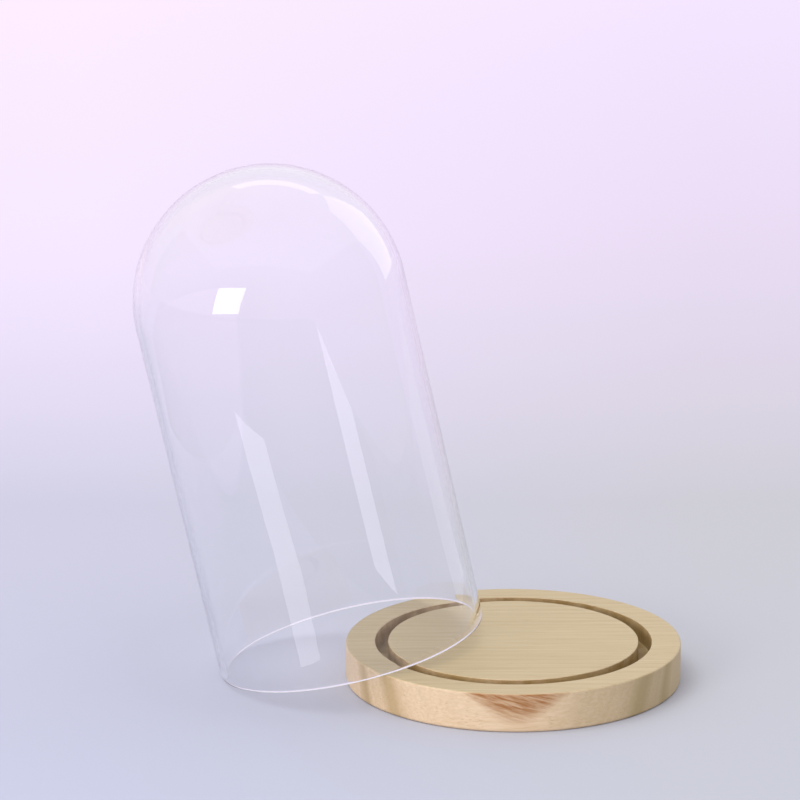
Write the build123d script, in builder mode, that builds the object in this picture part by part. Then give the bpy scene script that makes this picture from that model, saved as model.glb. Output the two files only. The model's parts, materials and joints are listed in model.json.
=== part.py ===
"""Bell jar: a blown glass dome taken off its turned pine base and leant against it.

Millimetres, +Z up. The origin is the centre of the base's underside, so z = 0 is the table.
The dome leans along -X: its rim stands on the table at one point, and rests on the base's
top outer edge at two points, one each side of the XZ plane.
"""

import math
import os

from build123d import *

os.makedirs("parts", exist_ok=True)

# Wooden base: one turned board with a groove that takes the dome's rim.
base_radius = 75.0
base_thickness = 17.5
top_edge_radius = 0.8
bottom_edge_radius = 1.4
platform_radius = 56.0
groove_outer_radius = 62.0
groove_depth = 9.0
groove_floor_radius = 0.6
groove_lip_radius = 0.4
edge_tolerance = 0.01  # for telling the groove's edges from the others by their radius

# Glass dome: a straight wall closed by half a sphere, with an open, fire-polished rim.
dome_radius = 60.5
dome_height = 222.0
dome_wall = 2.5

# Where the dome leans.
lean_degrees = 12.5
lean_reach = 73.1  # from the base's axis to the centre of the rim, along -X

# The rim's edge is a full round, so its centre line is half a wall in from each skin.
rim_round = dome_wall / 2
rim_radius = dome_radius - rim_round
inner_radius = dome_radius - dome_wall
shoulder_height = dome_height - dome_radius

lean = math.radians(lean_degrees)
dome_direction = Vector(-math.sin(lean), 0, math.cos(lean))
across_direction = Vector(math.cos(lean), 0, math.sin(lean))

# The rim's centre line is as high as keeps its lowest point on the table.
rim_centre = Vector(-lean_reach, 0, rim_radius * math.sin(lean) + rim_round)
dome_foot = rim_centre - dome_direction * rim_round
dome_profile_plane = Plane(origin=dome_foot, x_dir=across_direction, z_dir=(0, -1, 0))
dome_axis = Axis(dome_foot, dome_direction)


# ---- wooden base ---------------------------------------------------------------------------
groove_floor = base_thickness - groove_depth

with BuildPart() as wooden_base:
    with BuildSketch(Plane.XY):
        Circle(base_radius)
    extrude(amount=base_thickness)
    outer_edges = wooden_base.edges().filter_by(GeomType.CIRCLE).sort_by(Axis.Z)
    fillet(outer_edges[-1], radius=top_edge_radius)
    bottom_edge = wooden_base.edges().filter_by(GeomType.CIRCLE).sort_by(Axis.Z)[0]
    fillet(bottom_edge, radius=bottom_edge_radius)

    with BuildSketch(Plane.XY.offset(groove_floor)):
        Circle(groove_outer_radius)
        Circle(platform_radius, mode=Mode.SUBTRACT)
    extrude(amount=groove_depth, mode=Mode.SUBTRACT)
    groove_edges = wooden_base.edges().filter_by(GeomType.CIRCLE).filter_by(
        lambda edge: platform_radius - edge_tolerance < edge.radius < groove_outer_radius + edge_tolerance
    )
    fillet(groove_edges.group_by(Axis.Z)[0], radius=groove_floor_radius)
    lip_edges = wooden_base.edges().filter_by(GeomType.CIRCLE).filter_by(
        lambda edge: edge.radius < groove_outer_radius + edge_tolerance
    )
    fillet(lip_edges.group_by(Axis.Z)[-1], radius=groove_lip_radius)

wooden_base.part.label = "wooden_base"
export_step(wooden_base.part, "parts/wooden_base.step")


# ---- glass dome ----------------------------------------------------------------------------
with BuildPart() as glass_dome:
    with BuildSketch(dome_profile_plane):
        with BuildLine():
            outer_wall = Line((dome_radius, rim_round), (dome_radius, shoulder_height))
            outer_crown = RadiusArc(outer_wall @ 1, (0, dome_height), -dome_radius)
            crown_wall = Line(outer_crown @ 1, (0, dome_height - dome_wall))
            inner_crown = RadiusArc(crown_wall @ 1, (inner_radius, shoulder_height), inner_radius)
            inner_wall = Line(inner_crown @ 1, (inner_radius, rim_round))
            ThreePointArc(inner_wall @ 1, (rim_radius, 0), outer_wall @ 0)
        make_face()
    revolve(axis=dome_axis)

glass_dome.part.label = "glass_dome"
export_step(glass_dome.part, "parts/glass_dome.step")
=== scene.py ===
"""Looks for the bell jar: a clear glass dome leant against its turned pine base."""

import json
import math

import bmesh
import bpy
from mathutils import Matrix, Vector, noise


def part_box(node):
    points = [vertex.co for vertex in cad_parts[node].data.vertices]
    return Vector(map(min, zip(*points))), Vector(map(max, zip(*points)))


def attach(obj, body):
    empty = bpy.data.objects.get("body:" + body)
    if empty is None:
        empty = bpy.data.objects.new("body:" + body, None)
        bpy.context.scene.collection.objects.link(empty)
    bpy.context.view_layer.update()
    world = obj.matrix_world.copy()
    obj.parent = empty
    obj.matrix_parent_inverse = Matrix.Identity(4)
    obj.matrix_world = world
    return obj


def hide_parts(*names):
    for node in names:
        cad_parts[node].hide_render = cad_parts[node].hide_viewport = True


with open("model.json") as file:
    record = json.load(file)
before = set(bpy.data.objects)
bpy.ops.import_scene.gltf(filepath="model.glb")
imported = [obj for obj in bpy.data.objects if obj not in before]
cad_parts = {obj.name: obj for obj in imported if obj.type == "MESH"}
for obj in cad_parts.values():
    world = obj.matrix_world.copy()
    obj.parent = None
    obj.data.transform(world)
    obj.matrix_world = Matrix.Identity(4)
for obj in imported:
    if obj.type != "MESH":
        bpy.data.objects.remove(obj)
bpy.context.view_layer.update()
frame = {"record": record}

MM = 0.001
TURN = 2 * math.pi
WHITE = (1.0, 1.0, 1.0)
BLACK = (0.0, 0.0, 0.0)

# ---- sizes, in metres, from the frame ----------------------------------------------------------
base_low, base_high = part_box("wooden_base")
dome_low, dome_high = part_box("glass_dome")
joint = frame["record"]["behaviour"]["joints"][0]

BASE_RADIUS = base_high[0]
BASE_THICKNESS = base_high[2]
TOP_EDGE = 0.8 * MM
FOOT_EDGE = 1.4 * MM
GROOVE_INNER = 56.0 * MM
GROOVE_OUTER = 62.0 * MM
GROOVE_DEPTH = 9.0 * MM
GROOVE_LIP = 0.4 * MM
GROOVE_ROOT = 0.6 * MM

DOME_WALL = 2.5 * MM
DOME_RADIUS = (dome_high[1] - dome_low[1]) / 2
DOME_INSIDE = DOME_RADIUS - DOME_WALL
LEAN_AXIS = Vector(joint["axis"]).normalized()
ACROSS = Vector((LEAN_AXIS.z, 0, -LEAN_AXIS.x))
LEVEL = Vector((0, 1, 0))
CROWN_CENTRE = Vector((dome_low[0] + DOME_RADIUS, 0, dome_high[2] - DOME_RADIUS))
RIM_ROUND = DOME_WALL / 2
RIM_LIFT = -(DOME_RADIUS - RIM_ROUND) * LEAN_AXIS.x + RIM_ROUND * (1 - LEAN_AXIS.z)
WALL_LENGTH = (CROWN_CENTRE.z - RIM_LIFT) / LEAN_AXIS.z
DOME_FOOT = CROWN_CENTRE - LEAN_AXIS * WALL_LENGTH

# The studio is square to the camera, which stands a little to the right of the -Y axis.
VIEW_TURN = math.radians(6.2)
FORWARD = Vector((-math.sin(VIEW_TURN), math.cos(VIEW_TURN), 0))
RIGHT = Vector((math.cos(VIEW_TURN), math.sin(VIEW_TURN), 0))


# ---- small helpers -----------------------------------------------------------------------------
def new_object(name, vertices, faces, material):
    """A smooth-shaded mesh object made of the given vertices and faces."""
    mesh = bpy.data.meshes.new(name)
    mesh.from_pydata(vertices, [], faces)
    mesh.update()
    mesh.polygons.foreach_set("use_smooth", [True] * len(mesh.polygons))
    mesh.materials.append(material)
    made = bpy.data.objects.new(name, mesh)
    bpy.context.collection.objects.link(made)
    return made


def lathe(name, profile, place, steps, material, wobble):
    """Turns a closed profile of (radius, height) points about an axis. A radius of 0 is one point.

    place gives the spot of a (radius, angle, height), and wobble how far a point's radius is off.
    """
    vertices, rings, faces = [], [], []
    for index, (radius, height) in enumerate(profile):
        count = 1 if radius <= 0 else steps
        rings.append(list(range(len(vertices), len(vertices) + count)))
        for step in range(count):
            angle = TURN * step / steps
            shift = wobble(index, angle, height) if radius > 0 else 0.0
            vertices.append(place(radius + shift, angle, height))
    for index in range(len(profile)):
        near, far = rings[index], rings[(index + 1) % len(profile)]
        if len(near) == 1 and len(far) == 1:
            continue
        for step in range(steps):
            after = (step + 1) % steps
            if len(near) == 1:
                faces.append((near[0], far[after], far[step]))
            elif len(far) == 1:
                faces.append((near[step], near[after], far[0]))
            else:
                faces.append((near[step], near[after], far[after], far[step]))
    made = new_object(name, vertices, faces, material)
    shape = bmesh.new()
    shape.from_mesh(made.data)
    bmesh.ops.recalc_face_normals(shape, faces=shape.faces)
    shape.to_mesh(made.data)
    shape.free()
    return made


def arc(centre, radius, start, end, count):
    """Points on an arc, from angle start to angle end in degrees, both included."""
    angles = [math.radians(start + (end - start) * i / count) for i in range(count + 1)]
    return [(centre[0] + radius * math.cos(a), centre[1] + radius * math.sin(a)) for a in angles]


def line(start, end, count):
    """Points along a straight line, without its two ends."""
    shares = [i / count for i in range(1, count)]
    return [(start[0] + (end[0] - start[0]) * s, start[1] + (end[1] - start[1]) * s) for s in shares]


def srgb(red, green, blue):
    """Linear colour from 0-255 display values."""
    def linear(level):
        share = level / 255
        return share / 12.92 if share <= 0.04045 else ((share + 0.055) / 1.055) ** 2.4
    return tuple(linear(level) for level in (red, green, blue))


# ---- materials ---------------------------------------------------------------------------------
class Nodes:
    """A short way to build a material's node tree."""

    def __init__(self, name):
        self.material = bpy.data.materials.new(name)
        self.material.use_nodes = True
        self.tree = self.material.node_tree
        self.shader = self.tree.nodes["Principled BSDF"]

    def set(self, **values):
        """Sets plain values on the shader's own sockets, with _ for each space in their names."""
        for key, value in values.items():
            self.shader.inputs[key.replace("_", " ")].default_value = value

    def feed(self, socket, source):
        """Links a node's output to one of the shader's sockets."""
        self.tree.links.new(source, self.shader.inputs[socket])

    def add(self, kind, inputs, **settings):
        """A node with its settings, and its inputs either linked or given a value."""
        node = self.tree.nodes.new(kind)
        for key, value in settings.items():
            setattr(node, key, value)
        for key, value in inputs.items():
            if isinstance(value, bpy.types.NodeSocket):
                self.tree.links.new(value, node.inputs[key])
            else:
                node.inputs[key].default_value = value
        return node

    def place(self):
        """Where a point is on its object, in metres."""
        return self.add("ShaderNodeTexCoord", {}).outputs["Object"]

    def split(self, vector):
        """The X, Y and Z of a vector."""
        parts = self.add("ShaderNodeSeparateXYZ", {"Vector": vector})
        return [parts.outputs[axis] for axis in "XYZ"]

    def maths(self, operation, first, second=0.0, third=0.0):
        inputs = {0: first, 1: second, 2: third}
        return self.add("ShaderNodeMath", inputs, operation=operation).outputs[0]

    def times(self, first, second):
        return self.maths("MULTIPLY", first, second)

    def vector_maths(self, operation, first, second=BLACK):
        return self.add("ShaderNodeVectorMath", {0: first, 1: second}, operation=operation).outputs

    def ramp(self, factor, stops, interpolation="LINEAR"):
        """A colour ramp. A stop is (place, colour), or (place, level) for a grey."""
        node = self.add("ShaderNodeValToRGB", {"Fac": factor})
        node.color_ramp.interpolation = interpolation
        while len(node.color_ramp.elements) < len(stops):
            node.color_ramp.elements.new(0.5)
        for element, (place, colour) in zip(node.color_ramp.elements, stops):
            element.position = place
            element.color = (*colour, 1) if isinstance(colour, tuple) else (colour, colour, colour, 1)
        return node.outputs[0]

    def noise(self, vector, scale, detail, roughness=0.5):
        inputs = {"Vector": vector, "Scale": scale, "Detail": detail, "Roughness": roughness}
        return self.add("ShaderNodeTexNoise", inputs).outputs["Fac"]

    def mix(self, factor, first, second, blend="MIX"):
        """A blend of two colours, each a socket or three linear levels."""
        colours = [(*side, 1) if isinstance(side, tuple) else side for side in (first, second)]
        inputs = {0: factor, 6: colours[0], 7: colours[1]}
        return self.add("ShaderNodeMix", inputs, data_type="RGBA", blend_type=blend).outputs[2]


GLASS_TINT = (0.992, 0.996, 1.0)
GLASS_INDEX = 1.5


def make_glass():
    """Clear glass with a trace of blue. Its waves are in the shape of the dome."""
    nodes = Nodes("clear_glass")
    nodes.set(Base_Color=(*GLASS_TINT, 1), IOR=GLASS_INDEX, Roughness=0.0, Transmission_Weight=1.0)
    return nodes.material


# The pine's colours: of its flat faces, of its turned side, and of its marks. The side's colours are paler
# partly as end grain and partly as painted light from the window.
FACE_PALE = srgb(196, 181, 146)
FACE_DARK = srgb(178, 160, 122)
SIDE_PALE_LIT = srgb(229, 206, 174)
SIDE_DARK_LIT = srgb(213, 187, 148)
RING_BROWN = srgb(168, 140, 98)
FLAME_BROWN = srgb(156, 104, 52)
BAND_BROWN = srgb(172, 146, 98)
# Painted shade: the olive that darkens the right end of the side, away from the window's light.
OLIVE_SHADE = srgb(142, 132, 86)
# Partly painted shade in the groove's recess, partly the burnish the turning tool leaves.
GROOVE_SHADE_AND_BURNISH = srgb(150, 122, 70)

# Noises that run with the grain: how far each is squeezed along it, how fine it is, its detail.
DRIFT = {"squeeze": 0.12, "scale": 22.0, "detail": 2.0}
RIPPLE = {"squeeze": 0.05, "scale": 160.0, "detail": 3.0}
UNEVENNESS = {"squeeze": 0.02, "scale": 60.0, "detail": 2.0}
FIBRES = {"squeeze": 0.03, "scale": 900.0, "detail": 4.0, "roughness": 0.6}
PORES = {"squeeze": 0.06, "scale": 1500.0, "detail": 1.0}

# Growth rings: a year's width, their tilt, how far they wander, and each year's darkening.
RING_SPACING = 5.5 * MM
RING_TILT = 0.27
DRIFT_REACH = 2.5 * MM
RIPPLE_REACH = 0.7 * MM
YEAR_STOPS = [(0.0, 0.1), (0.55, 0.25), (0.86, 1.0), (1.0, 0.1)]

# How strongly the rings show: the unevenness along each one, and the side beside the faces.
UNEVEN_GAIN, UNEVEN_OFFSET, FAINTEST = 1.7, -0.45, 0.08
SIDE_RING_STRENGTH, FACE_RING_STRENGTH = 0.2, 0.5

# Where the fibres' noise is dark and pale, where it leaves pores, and which way is upward enough
# to be a face.
FIBRE_DARK_END, FIBRE_PALE_END = 0.3, 0.72
PORE_STOPS = [(0.62, 0.0), (0.74, 1.0)]
PORE_STRENGTH = 0.35
UPWARD_STOPS = [(0.35, 0.0), (0.9, 1.0)]

# Broad darker seasons on the side: millimetres across the grain, and how strong.
SEASONS = [
    (-56, 0.0), (-51, 0.8), (-48, 0.9), (-44, 0.15),
    (-38, 0.1), (-34, 0.9), (-31, 0.7), (-27, 0.0),
]
SEASON_STRENGTH = 0.8
# Painted shade on the side: how far right of the middle it starts, and how strong it grows.
OLIVE_SHADE_STOPS = [(0.05, 0.0), (0.45, 0.35), (0.85, 0.55)]

# The groove's painted shade and burnish: half the width it covers, how deep it starts, and its mottle.
GROOVE_COVER = 3.3 * MM
GROOVE_START = 0.4 * MM
MOTTLE_SCALE, MOTTLE_DETAIL = 140.0, 3.0
MOTTLE_STOPS = [(0.35, 0.45), (0.65, 0.9)]

# The flame: one dark ring just breaks the front of the side, with slanting streaks in it.
FLAME_PLACE = -72.7 * MM
FLAME_WIDTH = 1.9 * MM
FLAME_STOPS = [(0.0, 1.0), (0.4, 0.8), (1.0, 0.0)]
STREAK_SQUEEZE, STREAK_SLANT = 0.12, 0.3
STREAK_SCALE, STREAK_DETAIL, STREAK_ROUGHNESS = 700.0, 4.0, 0.6
STREAK_STOPS = [(0.36, 0.4), (0.6, 1.0)]

# Roughness by fibre, and the height of the fibres and rings.
GLOSS_STOPS = [(0.2, 0.5), (0.8, 0.66)]
RING_RELIEF = 0.4
RELIEF_STRENGTH, RELIEF_HEIGHT = 0.17, 0.15 * MM


def make_pine():
    """Pine as a solid texture: growth rings stand nearly upright, and the fibres run left to right."""
    nodes = Nodes("turned_pine")
    place = nodes.place()
    turn = {"Vector": place, "Angle": -VIEW_TURN}
    turned = nodes.add("ShaderNodeVectorRotate", turn, rotation_type="Z_AXIS").outputs[0]
    along, across, up = nodes.split(turned)
    below_top = nodes.maths("SUBTRACT", BASE_THICKNESS, up)

    def grain_noise(squeeze, scale, detail, roughness=0.5):
        parts = {"X": nodes.times(along, squeeze), "Y": across, "Z": up}
        squeezed = nodes.add("ShaderNodeCombineXYZ", parts).outputs[0]
        return nodes.noise(squeezed, scale, detail, roughness)

    def wander(settings, reach):
        return nodes.maths("MULTIPLY_ADD", grain_noise(**settings), 2 * reach, -reach)

    ring_place = nodes.maths("MULTIPLY_ADD", below_top, RING_TILT, across)
    ring_place = nodes.maths("ADD", ring_place, wander(DRIFT, DRIFT_REACH))
    ring_place = nodes.maths("ADD", ring_place, wander(RIPPLE, RIPPLE_REACH))

    # Each year's ring fades slowly from pale to brown, then starts again.
    year = nodes.maths("FRACT", nodes.maths("DIVIDE", ring_place, RING_SPACING))
    strength = nodes.maths("MULTIPLY_ADD", grain_noise(**UNEVENNESS), UNEVEN_GAIN, UNEVEN_OFFSET)
    strength = nodes.maths("MAXIMUM", nodes.maths("MINIMUM", strength, 1.0), FAINTEST)
    ring = nodes.times(nodes.ramp(year, YEAR_STOPS), strength)

    # The side is paler than the faces, partly as end grain and partly as painted light from the window,
    # and its rings are fainter.
    fibres = grain_noise(**FIBRES)
    face_colour = nodes.ramp(fibres, [(FIBRE_DARK_END, FACE_DARK), (FIBRE_PALE_END, FACE_PALE)])
    lit_side_colour = nodes.ramp(fibres, [(FIBRE_DARK_END, SIDE_DARK_LIT), (FIBRE_PALE_END, SIDE_PALE_LIT)])
    upward = nodes.split(nodes.add("ShaderNodeNewGeometry", {}).outputs["Normal"])[2]
    is_face = nodes.ramp(upward, UPWARD_STOPS)
    is_side = nodes.maths("SUBTRACT", 1.0, is_face)
    extra = FACE_RING_STRENGTH - SIDE_RING_STRENGTH
    ring_strength = nodes.maths("MULTIPLY_ADD", is_face, extra, SIDE_RING_STRENGTH)
    colour = nodes.mix(is_face, lit_side_colour, face_colour)
    colour = nodes.mix(nodes.times(ring, ring_strength), colour, RING_BROWN)

    # On the side the broad seasons show as upright bands. The right end of the side is painted darker and
    # more olive: painted shade, away from the window's light.
    first, last = SEASONS[0][0], SEASONS[-1][0]
    season_run = nodes.maths("SUBTRACT", ring_place, first * MM)
    season_run = nodes.maths("DIVIDE", season_run, (last - first) * MM)
    season_stops = [((spot - first) / (last - first), level) for spot, level in SEASONS]
    season = nodes.times(nodes.ramp(season_run, season_stops), is_side)
    colour = nodes.mix(nodes.times(season, SEASON_STRENGTH), colour, BAND_BROWN)
    olive_shade = nodes.ramp(nodes.maths("DIVIDE", along, BASE_RADIUS), OLIVE_SHADE_STOPS, "EASE")
    colour = nodes.mix(nodes.times(olive_shade, is_side), colour, OLIVE_SHADE)

    # The turned groove is darker and warmer than the faces: painted shade in the recess, and the burnish
    # of the turning tool.
    level_place = nodes.vector_maths("MULTIPLY", place, (1, 1, 0))[0]
    from_axis = nodes.vector_maths("LENGTH", level_place)["Value"]
    in_ring = nodes.maths("COMPARE", from_axis, (GROOVE_INNER + GROOVE_OUTER) / 2, GROOVE_COVER)
    in_groove = nodes.times(in_ring, nodes.maths("GREATER_THAN", below_top, GROOVE_START))
    mottle = nodes.ramp(nodes.noise(place, MOTTLE_SCALE, MOTTLE_DETAIL), MOTTLE_STOPS)
    colour = nodes.mix(nodes.times(in_groove, mottle), colour, GROOVE_SHADE_AND_BURNISH)

    flame = nodes.maths("DIVIDE", nodes.maths("SUBTRACT", ring_place, FLAME_PLACE), FLAME_WIDTH)
    flame = nodes.times(nodes.ramp(flame, FLAME_STOPS), is_side)
    slant = {
        "X": nodes.times(along, STREAK_SQUEEZE),
        "Y": nodes.maths("MULTIPLY_ADD", along, STREAK_SLANT, up),
    }
    slanted = nodes.add("ShaderNodeCombineXYZ", slant).outputs[0]
    streaks = nodes.noise(slanted, STREAK_SCALE, STREAK_DETAIL, STREAK_ROUGHNESS)
    colour = nodes.mix(nodes.times(flame, nodes.ramp(streaks, STREAK_STOPS)), colour, FLAME_BROWN)

    pores = nodes.ramp(grain_noise(**PORES), PORE_STOPS)
    colour = nodes.mix(nodes.times(pores, PORE_STRENGTH), colour, RING_BROWN)
    nodes.feed("Base Color", colour)

    nodes.feed("Roughness", nodes.ramp(fibres, GLOSS_STOPS))
    relief = {
        "Height": nodes.maths("ADD", fibres, nodes.times(ring, RING_RELIEF)),
        "Strength": RELIEF_STRENGTH,
        "Distance": RELIEF_HEIGHT,
    }
    nodes.feed("Normal", nodes.add("ShaderNodeBump", relief).outputs[0])
    return nodes.material


# ---- glass dome --------------------------------------------------------------------------------
# How finely the dome is cut, and the waves inside it: their height, where they fade, their number.
DOME_STEPS = 256
RIM_PARTS, BARREL_PARTS, CROWN_PARTS = 14, 60, 64
WAVE_HEIGHT = 0.1 * MM
WAVE_FADE = 25 * MM
WAVES_ROUND = 1.5
WAVES_UP = 12.0


def place_on_dome(radius, angle, height):
    across = ACROSS * (radius * math.cos(angle)) + LEVEL * (radius * math.sin(angle))
    return DOME_FOOT + LEAN_AXIS * height + across


def dome_profile():
    """Up the outside from the rim to the crown, then down the inside."""
    rim_middle = (DOME_INSIDE + RIM_ROUND, RIM_ROUND)
    crown_middle = (0, WALL_LENGTH)
    outer_crown = arc(crown_middle, DOME_RADIUS, 0, 90, CROWN_PARTS)[:-1]
    inner_crown = arc(crown_middle, DOME_INSIDE, 90, 0, CROWN_PARTS)[1:]
    return [
        *arc(rim_middle, RIM_ROUND, 180, 360, RIM_PARTS),
        *line((DOME_RADIUS, RIM_ROUND), (DOME_RADIUS, WALL_LENGTH), BARREL_PARTS),
        *outer_crown,
        (0, WALL_LENGTH + DOME_RADIUS),
        (0, WALL_LENGTH + DOME_INSIDE),
        *inner_crown,
        *line((DOME_INSIDE, WALL_LENGTH), (DOME_INSIDE, RIM_ROUND), BARREL_PARTS),
    ]


dome_points = dome_profile()
inner_top = dome_points.index((0, WALL_LENGTH + DOME_INSIDE))


def blown(index, angle, height):
    """Slow waves that blowing leaves on the inside of the straight wall, none at its two ends."""
    if index <= inner_top:
        return 0.0
    fade = min(1.0, height / WAVE_FADE, (WALL_LENGTH - height) / WAVE_FADE)
    where = Vector((math.cos(angle) * WAVES_ROUND, math.sin(angle) * WAVES_ROUND, height * WAVES_UP))
    return WAVE_HEIGHT * max(0.0, fade) * noise.noise(where)


glass = lathe("blown_glass_dome", dome_points, place_on_dome, DOME_STEPS, make_glass(), blown)
glass.visible_shadow = False
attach(glass, "dome")
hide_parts("glass_dome")

# ---- wooden base -------------------------------------------------------------------------------
# How finely the base is cut, and the marks in the groove: where they start below the top, their
# heights and their number.
BASE_STEPS = 512
EDGE_PARTS, LIP_PARTS, WALL_PARTS = 5, 4, 6
HOLD = 0.15 * MM
CHATTER_START = 0.3 * MM
CHATTER_HEIGHT = 0.12 * MM
CHATTER_SCALE = 24
CHATTER_RISE = 40
TOOL_MARKS = 140
TOOL_MARK_HEIGHT = 0.05 * MM


def place_on_base(radius, angle, height):
    return Vector((radius * math.cos(angle), radius * math.sin(angle), height))


def base_profile():
    """From the middle of the underside, out, up, over the groove and in to the middle of the top.

    A point HOLD beyond each rounded edge keeps the shading of the flat faces flat.
    """
    floor_height = BASE_THICKNESS - GROOVE_DEPTH
    lip_height = BASE_THICKNESS - GROOVE_LIP
    root_height = floor_height + GROOVE_ROOT
    outer_high = (GROOVE_OUTER, lip_height - HOLD)
    outer_low = (GROOVE_OUTER, root_height + HOLD)
    inner_low = (GROOVE_INNER, root_height + HOLD)
    inner_high = (GROOVE_INNER, lip_height - HOLD)
    return [
        (0, 0),
        (BASE_RADIUS - FOOT_EDGE - HOLD, 0),
        *arc((BASE_RADIUS - FOOT_EDGE, FOOT_EDGE), FOOT_EDGE, 270, 360, EDGE_PARTS),
        (BASE_RADIUS, FOOT_EDGE + HOLD),
        (BASE_RADIUS, BASE_THICKNESS - TOP_EDGE - HOLD),
        *arc((BASE_RADIUS - TOP_EDGE, BASE_THICKNESS - TOP_EDGE), TOP_EDGE, 0, 90, EDGE_PARTS),
        (BASE_RADIUS - TOP_EDGE - HOLD, BASE_THICKNESS),
        (GROOVE_OUTER + GROOVE_LIP + HOLD, BASE_THICKNESS),
        *arc((GROOVE_OUTER + GROOVE_LIP, lip_height), GROOVE_LIP, 90, 180, LIP_PARTS),
        outer_high,
        *line(outer_high, outer_low, WALL_PARTS),
        outer_low,
        *arc((GROOVE_OUTER - GROOVE_ROOT, root_height), GROOVE_ROOT, 0, -90, LIP_PARTS),
        (GROOVE_OUTER - GROOVE_ROOT - HOLD, floor_height),
        (GROOVE_INNER + GROOVE_ROOT + HOLD, floor_height),
        *arc((GROOVE_INNER + GROOVE_ROOT, root_height), GROOVE_ROOT, 270, 180, LIP_PARTS),
        inner_low,
        *line(inner_low, inner_high, WALL_PARTS),
        inner_high,
        *arc((GROOVE_INNER - GROOVE_LIP, lip_height), GROOVE_LIP, 0, 90, LIP_PARTS),
        (GROOVE_INNER - GROOVE_LIP - HOLD, BASE_THICKNESS),
        (0, BASE_THICKNESS),
    ]


base_points = base_profile()


def chatter(index, angle, height):
    """Small marks that the turning tool leaves on the groove's two walls."""
    radius = base_points[index][0]
    in_groove = GROOVE_INNER - MM < radius < GROOVE_OUTER + MM
    if not in_groove or height >= BASE_THICKNESS - CHATTER_START:
        return 0.0
    where = Vector((math.cos(angle), math.sin(angle), height * CHATTER_RISE)) * CHATTER_SCALE
    return CHATTER_HEIGHT * noise.noise(where) + TOOL_MARK_HEIGHT * math.sin(angle * TOOL_MARKS)


base = lathe("turned_pine_base", base_points, place_on_base, BASE_STEPS, make_pine(), chatter)
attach(base, "base")
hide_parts("wooden_base")

# ---- floor -------------------------------------------------------------------------------------
# The paper's tones, with the studio's fall of light painted into them, from the far edge to the near one:
# place, tone at the left, tone at the right.
PAPER_AND_LIGHT_TONES = [
    (0.0, (253, 239, 255), (244, 231, 253)),
    (0.3, (233, 222, 242), (222, 212, 230)),
    (0.62, (190, 190, 206), (190, 191, 196)),
    (1.0, (183, 187, 205), (185, 188, 196)),
]

# The tone runs as a height over the distance from a point in front of the part, so that it changes
# faster near the front, and as the way aside over that distance.
TONE_HEIGHT = 0.512
TONE_BACK = 1.492
TONE_LEFT = 0.051
TONE_NEAR, TONE_FAR = 0.38, 0.14
TONE_SPREAD = 0.18
LEAST_DISTANCE = 0.2

# The soft light that the glass gathers on the paper, painted into the paper's colour as a pool of light.
GLOW_PLACE = (-0.096, 0.016, 0.0)
GLOW_REACH = 0.085
GLOW_GAIN = 0.2

FLOOR_RADIUS = 4.0
FLOOR_CORNERS = 128


def make_paper_with_painted_light():
    """Pale paper with painted light and shade: its tone runs from front to back and from left to right."""
    nodes = Nodes("studio_floor")
    right, back, _ = nodes.split(nodes.place())
    distance = nodes.maths("MAXIMUM", nodes.maths("ADD", back, TONE_BACK), LEAST_DISTANCE)
    slope = nodes.maths("DIVIDE", TONE_HEIGHT, distance)
    run = nodes.maths("DIVIDE", nodes.maths("SUBTRACT", slope, TONE_FAR), TONE_NEAR - TONE_FAR)
    aside = nodes.maths("DIVIDE", nodes.maths("ADD", right, TONE_LEFT), distance)
    aside = nodes.maths("MULTIPLY_ADD", aside, 1 / TONE_SPREAD, 0.5)
    aside = nodes.maths("MINIMUM", nodes.maths("MAXIMUM", aside, 0.0), 1.0)
    left_tone = nodes.ramp(run, [(place, srgb(*left)) for place, left, _ in PAPER_AND_LIGHT_TONES])
    right_tone = nodes.ramp(run, [(place, srgb(*right)) for place, _, right in PAPER_AND_LIGHT_TONES])
    colour = nodes.mix(aside, left_tone, right_tone)

    # Painted light: the paper is painted brighter within the glow's reach.
    where = nodes.add("ShaderNodeNewGeometry", {}).outputs["Position"]
    from_glow = nodes.vector_maths("DISTANCE", where, GLOW_PLACE)["Value"]
    glow = nodes.ramp(nodes.maths("DIVIDE", from_glow, GLOW_REACH), [(0.0, 1.0), (1.0, 0.0)], "EASE")
    bright = nodes.mix(1.0, colour, (1 + GLOW_GAIN,) * 3, "MULTIPLY")
    nodes.feed("Base Color", nodes.mix(glow, colour, bright))
    nodes.set(Roughness=0.9, Specular_IOR_Level=0.0)
    return nodes.material


bpy.ops.mesh.primitive_circle_add(vertices=FLOOR_CORNERS, radius=FLOOR_RADIUS, fill_type="NGON")
floor = bpy.context.object
floor.name = "floor"
floor.rotation_euler = (0, 0, VIEW_TURN)
floor.data.materials.append(make_paper_with_painted_light())

# ---- world -------------------------------------------------------------------------------------
WORLD_LEVEL = (0.91, 0.79, 1.0)
WORLD_TOP = (0.98, 0.97, 1.0)
WORLD_TOP_FROM = 0.55


def make_world():
    """An even pale room, a little brighter overhead."""
    world = bpy.data.worlds.new("studio")
    world.use_nodes = True
    tree = world.node_tree
    place = tree.nodes.new("ShaderNodeTexCoord")
    split = tree.nodes.new("ShaderNodeSeparateXYZ")
    ramp = tree.nodes.new("ShaderNodeValToRGB")
    low, high = ramp.color_ramp.elements
    low.position, high.position = 0.0, WORLD_TOP_FROM
    low.color = (*WORLD_LEVEL, 1)
    high.color = (*WORLD_TOP, 1)
    tree.links.new(place.outputs["Generated"], split.inputs[0])
    tree.links.new(split.outputs["Z"], ramp.inputs["Fac"])
    tree.links.new(ramp.outputs[0], tree.nodes["Background"].inputs["Color"])
    return world


bpy.context.scene.world = make_world()

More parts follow.
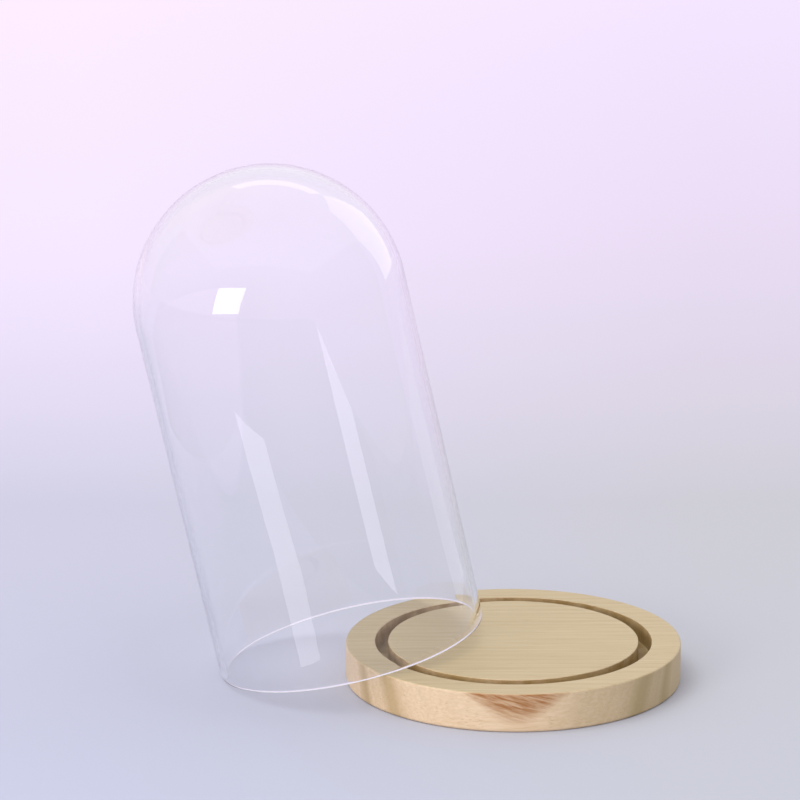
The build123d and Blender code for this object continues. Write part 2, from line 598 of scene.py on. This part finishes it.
# ---- lamps and cards ---------------------------------------------------------------------------
STUDIO_MIDDLE = Vector((-0.07, 0, 0))
LAMP_AIM = STUDIO_MIDDLE + Vector((0, 0, 0.1))
GLARE_HEIGHT = 4 * MM
SHEET_HEIGHT = 1 * MM
WARM = (1.0, 0.95, 0.9)
CREAM = (1.0, 0.97, 0.88)
LAVENDER = (0.93, 0.9, 1.0)
ROOM_DISTANCE, ROOM_HEIGHT, ROOM_RADIANCE = 3.9, 2.6, 0.62
BEYOND_RADIANCE = 0.36


def spot(right_degrees, distance, height):
    """A place in the studio: degrees to the right of the camera's side, metres away, metres up."""
    side = math.radians(right_degrees)
    level = RIGHT * math.sin(side) - FORWARD * math.cos(side)
    return STUDIO_MIDDLE + level * distance + Vector((0, 0, height))


def softbox(name, place, width, drop, radiance, colour):
    """A rectangular lamp that faces the middle of the object. It lights, but isn't mirrored."""
    data = bpy.data.lights.new(name, "AREA")
    data.shape = "RECTANGLE"
    data.size, data.size_y = width, drop
    data.energy = radiance * math.pi * width * drop
    data.color = colour
    lamp = bpy.data.objects.new(name, data)
    lamp.location = spot(*place)
    lamp.rotation_mode = "QUATERNION"
    lamp.rotation_quaternion = (lamp.location - LAMP_AIM).to_track_quat("Z", "Y")
    lamp.visible_camera = False
    lamp.visible_glossy = False
    lamp.visible_transmission = False
    bpy.context.collection.objects.link(lamp)


def card(name, corners, radiance, colour):
    """An even card that only the shine of the part shows. It gives no light."""
    nodes = Nodes(name)
    nodes.set(Base_Color=(*BLACK, 1), Specular_IOR_Level=0.0)
    nodes.set(Emission_Color=(*colour, 1), Emission_Strength=radiance)
    nodes.material.cycles.emission_sampling = "NONE"
    spots = [spot(*corner) for corner in corners]
    made = new_object(name, spots, [tuple(range(len(spots)))], nodes.material)
    made.visible_camera = False
    made.visible_diffuse = False
    made.visible_shadow = False
    made.visible_transmission = False


def upright(left, right, distance, low, high):
    """The four corners of an upright card between two sides."""
    return [(left, distance, low), (right, distance, low), (right, distance, high), (left, distance, high)]


def lying(height, *spots):
    """The corners of a card that lies low over the floor, each given as its side and distance."""
    return [(side, distance, height) for side, distance in spots]


softbox("window_light", (-34, 1.6, 0.48), 0.65, 0.6, 8.0, WARM)
softbox("overhead_light", (-70, 0.5, 1.5), 0.9, 0.9, 2.6, WHITE)

# Bright things that the dome mirrors: a window, glare on the floor, and the room's wall and ceiling.
window_corners = [(-47.0, 1.6, 0.153), (-25.3, 1.6, 0.212), (-20.2, 1.6, 0.826), (-43.9, 1.6, 0.725)]
window_glare_corners = lying(
    GLARE_HEIGHT, (-29, 0.1), (-17.5, 0.12), (-19.5, 0.25), (-25.5, 0.46), (-44, 0.43), (-37, 0.24)
)
front_right_corners = lying(GLARE_HEIGHT, (37.5, 0.6), (51, 0.6), (51, 9.0), (37.5, 9.0))
right_corners = lying(GLARE_HEIGHT, (110, 0.35), (129, 0.35), (129, 4.0), (110, 4.0))
back_right_corners = [
    (117, 2.0, 0.3), (138, 2.0, 0.3), (148, 2.0, 0.9),
    (148, 2.0, 2.1), (125, 2.0, 2.5), (111, 2.0, 1.4),
]
card("window", window_corners, 7.5, WARM)
card("window_glare", window_glare_corners, 2.9, LAVENDER)
card("front_right_glare", front_right_corners, 3.0, LAVENDER)
card("right_glare", right_corners, 1.15, LAVENDER)
card("back_right_wall", back_right_corners, 2.0, CREAM)
card("back_ceiling", upright(150, 206, 2.0, 2.1, 2.7), 2.2, CREAM)

# Beyond the pale paper's left and front edges the room is a little darker.
for name, left, right in (("room_left", -118, -50), ("room_front", -50, 40), ("room_right", 40, 108)):
    wall = upright(left, right, ROOM_DISTANCE, 0.0, ROOM_HEIGHT)
    card(name, wall, ROOM_RADIANCE, WHITE)
beyond_left = lying(SHEET_HEIGHT, (-38.4, 0.47), (-118, 0.34), (-100, 4.0), (-50, 4.0))
beyond_front = lying(SHEET_HEIGHT, (-38.1, 0.47), (-50, 4.0), (60, 4.0), (60, 0.74))
card("beyond_left", beyond_left, BEYOND_RADIANCE, WHITE)
card("beyond_front", beyond_front, BEYOND_RADIANCE, WHITE)

# ---- camera ------------------------------------------------------------------------------------
CAMERA_PLACE = Vector((0.1112, -1.48867, 0.51183))
PITCH = math.radians(14.42)
ROLL = math.radians(-0.225)
LENS, SENSOR = 157.5, 36.0

camera_data = bpy.data.cameras.new("camera")
camera_data.lens = LENS
camera_data.sensor_width = SENSOR
camera = bpy.data.objects.new("camera", camera_data)
bpy.context.collection.objects.link(camera)
camera.matrix_world = (
    Matrix.Translation(CAMERA_PLACE)
    @ Matrix.Rotation(VIEW_TURN, 4, "Z")
    @ Matrix.Rotation(math.pi / 2 - PITCH, 4, "X")
    @ Matrix.Rotation(ROLL, 4, "Z")
)
bpy.context.scene.camera = camera
bpy.context.scene.view_settings.view_transform = "Standard"
